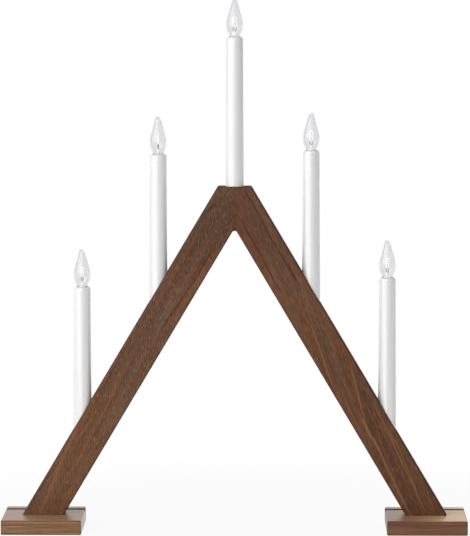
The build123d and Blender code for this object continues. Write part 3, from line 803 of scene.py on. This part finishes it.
def leadMesh(name, material):  # two wires that rise through the stem and spread to the feet of the filament
    turn = math.radians(lampTurns[name])
    gap, span, radius = lead["halfGap"], filament["halfSpan"], lead["radius"]
    kink, kinkRise = lead["kink"]
    elbow, elbowDrop = lead["elbow"]
    line = smoothThrough([
        (gap, lead["foot"]), (gap, 0.0), (gap, lead["stemTop"]), (gap * kink, lead["stemTop"] + kinkRise),
        (span * elbow, filament["foot"] - elbowDrop),
        (span, filament["foot"]), (span, lead["top"])], lead["rows"])
    bm = bmesh.new()
    rise = bm.verts.layers.float.new("rise")
    for side in (-1, 1):
        rings = []
        for i, (out, height) in enumerate(line):
            before, after = line[max(i - 1, 0)], line[min(i + 1, len(line) - 1)]
            slope = Vector((after[0] - before[0], after[1] - before[1])).normalized()
            ring = []
            for k in range(lead["sides"]):
                angle = fullTurn * k / lead["sides"]
                along = side * (out + radius * math.cos(angle) * slope.y)
                up = height - radius * math.cos(angle) * slope.x
                back = radius * math.sin(angle)
                vertex = bm.verts.new((mm * (along * math.cos(turn) - back * math.sin(turn)),
                                       mm * (along * math.sin(turn) + back * math.cos(turn)), mm * up))
                vertex[rise] = (height - lead["foot"]) / (lead["top"] - lead["foot"])
                ring.append(vertex)
            rings.append(ring)
        for low, high in zip(rings, rings[1:]):
            for k in range(lead["sides"]):
                j = (k + 1) % lead["sides"]
                bm.faces.new((low[k], low[j], high[j], high[k])).smooth = True
        bm.faces.new(rings[0])
        bm.faces.new(rings[-1])
    bmesh.ops.recalc_face_normals(bm, faces=bm.faces)
    mesh = asMesh("leads_" + name, bm)
    mesh.materials.append(material)
    return mesh


def hairpin(name):  # up one leg, round the bow and down the other leg
    turn = math.radians(lampTurns[name])
    span, foot, leg = filament["halfSpan"], filament["foot"], filament["leg"]
    steps, bowSteps = filament["legSteps"], filament["bowSteps"]
    corners = [(-span, foot + leg * i / steps) for i in range(steps)]
    bow = [math.pi * i / bowSteps for i in range(bowSteps + 1)]
    corners += [(-span * math.cos(a), foot + leg + span * math.sin(a)) for a in bow]
    corners += [(span, foot + leg - leg * i / steps) for i in range(1, steps + 1)]
    line = bpy.data.meshes.new("hairpin")
    line.from_pydata([(a * mm * math.cos(turn), a * mm * math.sin(turn), h * mm) for a, h in corners],
                     [(i, i + 1) for i in range(len(corners) - 1)], [])
    return line


# Drawn tungsten, coiled: it glows a warm near-white when the lamp is on
tungsten = patterned(
    "tungstenCoiled",
    {"Base Color": hexToLinear(filament["colour"]), "Metallic": 1.0, "Emission Strength": filament["shine"]},
    [(4, 1.0, 0.0)], [(0.3, "#FFF3DC"), (0.7, "#FFFAEE")], roughness=(0.35, 0.55, 0), toned="Emission Color")
coils = coilTree(tungsten)
nickel = oxidisedNickel()
for lampName in lampNames:
    line = hairpin(lampName)
    line.transform(Matrix.Translation(mouths[lampName]))
    coil = grow("filament_" + lampName, line, coils, filamentSizes)
    place("filamentCoil_" + lampName, coil, "lamp_" + lampName, "filament", "filament_" + lampName)
    wires = leadMesh(lampName, nickel)
    wires.transform(Matrix.Translation(mouths[lampName]))
    place("leadWires_" + lampName, wires, "lamp_" + lampName, "lead_wire", "bulb_leads_" + lampName)
print("filaments coiled and leads bent")

# Screw caps and their contacts; lengths in mm, heights from the candle's mouth
cap = {
    "radius": 4.765,
    "depth": 0.3,
    "pitch": 1.81,
    "top": -2.5,
    "length": 9.0,
    "wall": 0.4,
    "segments": 64,
    "rows": 181,
    "runIn": (0.12, 0.22),  # shares of the length, over which the thread starts and ends
    "runOut": (0.84, 0.95),
    "inside": (0.5005, 0.9995),  # share of the sheet that becomes the inner wall
}
capSizes = {name.title(): cap[name] * mm for name in ("radius", "depth", "pitch", "top", "length", "wall")}
capSizes.update({"Segments": cap["segments"], "Rows": cap["rows"]})


def threadTree(material):  # a drawn sleeve with a rolled right-hand thread, closed over its rims
    tree, given = startTree("rolledThread", capSizes)
    columns = addNode(tree, mathNode, plus, {0: given["Segments"], 1: 1.0})
    sheet = addNode(tree, "GeometryNodeMeshGrid", inputs={
        "Size X": 1.0, "Size Y": 1.0, "Vertices X": columns, "Vertices Y": given["Rows"]})
    spot = addNode(tree, "ShaderNodeSeparateXYZ", inputs={0: sheet.outputs["UV Map"]}).outputs
    angle = addNode(tree, mathNode, times, {0: spot[0], 1: fullTurn})
    double = addNode(tree, mathNode, times, {0: spot[1], 1: 2.0})
    run = addNode(tree, mathNode, {"operation": "PINGPONG"}, {0: double, 1: 1.0})  # down outside, up inside
    fall = addNode(tree, mathNode, times, {0: run, 1: given["Length"]})
    height = addNode(tree, mathNode, minus, {0: given["Top"], 1: fall})
    turns = addNode(tree, mathNode, {"operation": "DIVIDE"}, {0: height, 1: given["Pitch"]})
    phase = addNode(tree, mathNode, minus, {0: turns, 1: spot[0]})
    swing = addNode(tree, mathNode, times, {0: phase, 1: fullTurn})
    wave = addNode(tree, mathNode, cosineOf, {0: swing})
    groove = addNode(tree, mapRange, inputs=spread(wave, -1.0, 1.0, 1.0, 0.0))
    begin = addNode(tree, mapRange, smoothStep, spread(run, *cap["runIn"]))
    end = addNode(tree, mapRange, smoothStep, spread(run, *cap["runOut"], 1.0, 0.0))
    for factor in (begin, end, given["Depth"]):
        groove = addNode(tree, mathNode, times, {0: groove, 1: factor})
    past = addNode(tree, mathNode, above, {0: spot[1], 1: cap["inside"][0]})
    notLast = addNode(tree, mathNode, under, {0: spot[1], 1: cap["inside"][1]})
    inside = addNode(tree, mathNode, times, {0: past, 1: notLast})
    thickness = addNode(tree, mathNode, times, {0: inside, 1: given["Wall"]})
    radius = given["Radius"]
    for taken in (groove, thickness):
        radius = addNode(tree, mathNode, minus, {0: radius, 1: taken})
    across, back = [addNode(tree, mathNode, times, {
        0: addNode(tree, mathNode, wayRound, {0: angle}), 1: radius}) for wayRound in (cosineOf, sineOf)]
    point = addNode(tree, "ShaderNodeCombineXYZ", inputs={0: across, 1: back, 2: height})
    sleeve = addNode(tree, "GeometryNodeSetPosition", inputs={
        "Geometry": sheet.outputs["Mesh"], "Position": point})
    closed = addNode(tree, "GeometryNodeMergeByDistance", inputs={"Geometry": sleeve, "Distance": 1e-6})
    endTree(tree, addNode(tree, "GeometryNodeSetShadeSmooth", inputs={0: closed}), material)
    return tree


# outlines of the insulator and of its contact button: radius and height
base = {
    "glass": ((0.0, -13.1), (2.2, -13.2), (2.5, -13.08), (4.415, -11.75), (4.565, -11.55), (0.0, -11.55)),
    "button": ((0.0, -14.0), (0.8, -13.96), (1.36, -13.76), (1.6, -13.45), (1.536, -13.15), (0.0, -13.05)),
    "segments": 48,
}
# Deep-drawn sheet brass: yellow and bright, with faint drawing lines and slight tarnish
brass = patterned(
    "brassSheetDrawn", {"Metallic": 1.0}, [(3, 3.0, 0.0), ((0.5, 0.5, 8), 3.0, 0.0)],
    [(0.3, "#B08A45"), (0.55, "#D9B566"), (0.8, "#E3C57C")], roughness=(0.18, 0.38, 1), bump=(0.05, 0.05, 1))
# Black glass pressed into the cap: deep, glossy, with fine flow marks
blackGlass = patterned(
    "blackGlassPressed", {"IOR": 1.52}, [(1.2, 4.0, 0.8)],
    [(0.35, "#0E0E10"), (0.7, "#26262A")], roughness=(0.1, 0.3, 0))
# A drop of tin solder: soft grey metal, wavy where it froze
solder = patterned(
    "tinSolderMelted", {"Metallic": 1.0}, [(0.7, 3.0, 0.0)],
    [(0.3, "#9C9C9A"), (0.7, "#CBCBC8")], roughness=(0.25, 0.5, 0), bump=(0.2, 0.1, 0))
threads = threadTree(brass)
seed = bpy.data.meshes.new("capSeed")
for lampName in lampNames:
    sleeve = grow("cap_" + lampName, seed, threads, capSizes)
    sleeve.transform(Matrix.Translation(mouths[lampName]))
    place("threadedCap_" + lampName, sleeve, "lamp_" + lampName, "brass", "bulb_cap_" + lampName)
    bm = bmesh.new()
    revolve(bm, base["glass"], base["segments"])
    revolve(bm, base["button"], base["segments"], None, 1)
    mesh = asMesh("capBase_" + lampName, bm)
    mesh.transform(Matrix.Translation(mouths[lampName]))
    mesh.materials.append(blackGlass)
    mesh.materials.append(solder)
    place("capBase_" + lampName, mesh, "lamp_base_" + lampName, "cap_insulator", "bulb_base_" + lampName)
print("caps threaded:", len(lampNames))

# Lampholders, wiring and dowels
dress(brass, *["screw_shell_" + n for n in lampNames], *["centre_contact_" + n for n in lampNames])
# Compression-moulded urea resin is off-white and half matt; soft PVC wire cover is white and satin;
# nylon sleeves are milky: dark and light tone, roughness, grit of the mould in mm, and the nodes
plastics = {
    "ureaResinMoulded": ("#DED9CC", "#E9E5DA", 0.4, 0.4, ["lampholder_" + n for n in lampNames]),
    "softPvcExtruded": ("#E2DFD8", "#EFEDE8", 0.45, 0.3,
                        ["feed_wire", "return_wire", *["link_wire_%d" % i for i in range(1, 5)]]),
    "nylonMoulded": ("#CDCBC0", "#DCDBD2", 0.35, 0.5, ["splice_sleeves"]),
}
plasticCloud, roughnessSpan = 6, 0.06
for name, (dark, light, roughness, grit, dressed) in plastics.items():
    dress(patterned(
        name, {"IOR": 1.5}, [(plasticCloud, 3.0, 0.0), (grit, 2.0, 0.0)], [(0.3, dark), (0.7, light)],
        roughness=(roughness - roughnessSpan, roughness + roughnessSpan, 0), bump=(0.12, 0.05, 1)), *dressed)
# Bare turned beech: pale, with fine lines along the rod and small brown flecks
dress(patterned(
    "beechTurned", {"Roughness": 0.6}, [((12, 0.6, 0.6), 3.0, 0.0)],
    [(0.3, "#B58A5C"), (0.6, "#D6B284"), (0.8, "#E0C39A")], bump=(0.2, 0.1, 0)), "apex_dowels")
print("holders, wires and dowels finished")

# Foot screws; lengths in mm
screw = {
    "headRadius": 4.0,
    "outline": ((0.0, 0.0), (3.9, 0.0), (4.0, 0.12), (4.0, 0.3), (2.0, 2.2),
                (2.0, 36.0), (0.25, 39.9), (0.0, 40.0)),
    "slotSize": (4.6, 1.1),
    "slotDepth": 1.5,
    "slotOver": 0.5,  # the cutter starts this far outside the head
    "slotInner": (0.45, 0.78),  # shares of the slot's size at its bottom
    "segments": 40,
    "turnStep": 0.4,
    "mottle": 0.8,
}


def screwMesh(material):  # countersunk head with a cross recess, facing down, its flat at z = 0
    bm = bmesh.new()
    revolve(bm, screw["outline"], screw["segments"])
    bmesh.ops.recalc_face_normals(bm, faces=bm.faces)
    body = asMesh("screw", bm)
    bm = bmesh.new()
    for turn in (0, math.pi / 2):
        for vertex in bmesh.ops.create_cube(bm, size=1.0)["verts"]:
            deep = vertex.co.z > 0
            spanShare, widthShare = screw["slotInner"] if deep else (1.0, 1.0)
            local = Vector((vertex.co.x * screw["slotSize"][0] * spanShare,
                            vertex.co.y * screw["slotSize"][1] * widthShare,
                            screw["slotDepth"] if deep else -screw["slotOver"])) * mm
            vertex.co = Matrix.Rotation(turn, 3, "Z") @ local
    cutter = asMesh("recess", bm)
    holders = [bpy.data.objects.new(mesh.name, mesh) for mesh in (body, cutter)]
    for holder in holders:
        bpy.context.scene.collection.objects.link(holder)
    cut = holders[0].modifiers.new("recess", "BOOLEAN")
    cut.object = holders[1]
    cut.operation = "DIFFERENCE"
    cut.solver = "EXACT"
    cut.use_self = True
    bpy.context.view_layer.update()
    result = bpy.data.meshes.new_from_object(holders[0].evaluated_get(bpy.context.evaluated_depsgraph_get()))
    for holder in holders:
        bpy.data.objects.remove(holder)
    result.materials.clear()
    result.materials.append(material)
    return result


def screwTree(template, material):
    tree, given = startTree("footScrews", {"Turn": screw["turnStep"]})
    shape = addNode(tree, "GeometryNodeObjectInfo", inputs={"Object": template}).outputs["Geometry"]
    count = addNode(tree, "GeometryNodeInputIndex")
    step = addNode(tree, mathNode, times, {0: count, 1: given["Turn"]})
    spin = addNode(tree, "ShaderNodeCombineXYZ", inputs={2: step})
    screwed = addNode(tree, "GeometryNodeInstanceOnPoints", inputs={
        "Points": given["Geometry"], "Instance": shape, "Rotation": spin})
    endTree(tree, screwed, material)
    return tree


def zincPlated():
    # Rolled steel screws, bright zinc plated: bluish grey metal with a fine crystal mottle
    material, tree, shader = newMaterial("steelZincPlated", {"Metallic": 1.0})
    where = addNode(tree, "ShaderNodeTexCoord").outputs["Object"]
    mottle = addNode(tree, "ShaderNodeTexVoronoi", inputs={
        "Vector": where, "Scale": 1 / (screw["mottle"] * mm)}).outputs["Distance"]
    tone = addNode(tree, "ShaderNodeValToRGB", inputs={0: mottle})
    setStops(tone.color_ramp, [(0.1, "#A9ADB0"), (0.7, "#CED1D2")])
    feed(tree, shader, "Base Color", tone)
    feed(tree, shader, "Roughness", addNode(tree, mapRange, inputs=spread(mottle, 0.0, 1.0, 0.22, 0.42)))
    return material


zinc = zincPlated()
template = bpy.data.objects.new("screwTemplate", screwMesh(zinc))
bpy.context.scene.collection.objects.link(template)
screws = screwTree(template, zinc)
for side in ("left", "right"):
    low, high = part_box(side + "_foot_screws")
    points = bpy.data.meshes.new("screwPoints")
    inset = screw["headRadius"] * mm
    points.from_pydata([(x, (low.y + high.y) / 2, low.z) for x in (low.x + inset, high.x - inset)], [], [])
    grown = grow(side + "Screws", points, screws, {"Turn": screw["turnStep"]})
    place(side + "FootScrews", grown, "frame", "screw_steel", side + "_foot_screws")
bpy.data.objects.remove(template)
print("foot screws set")
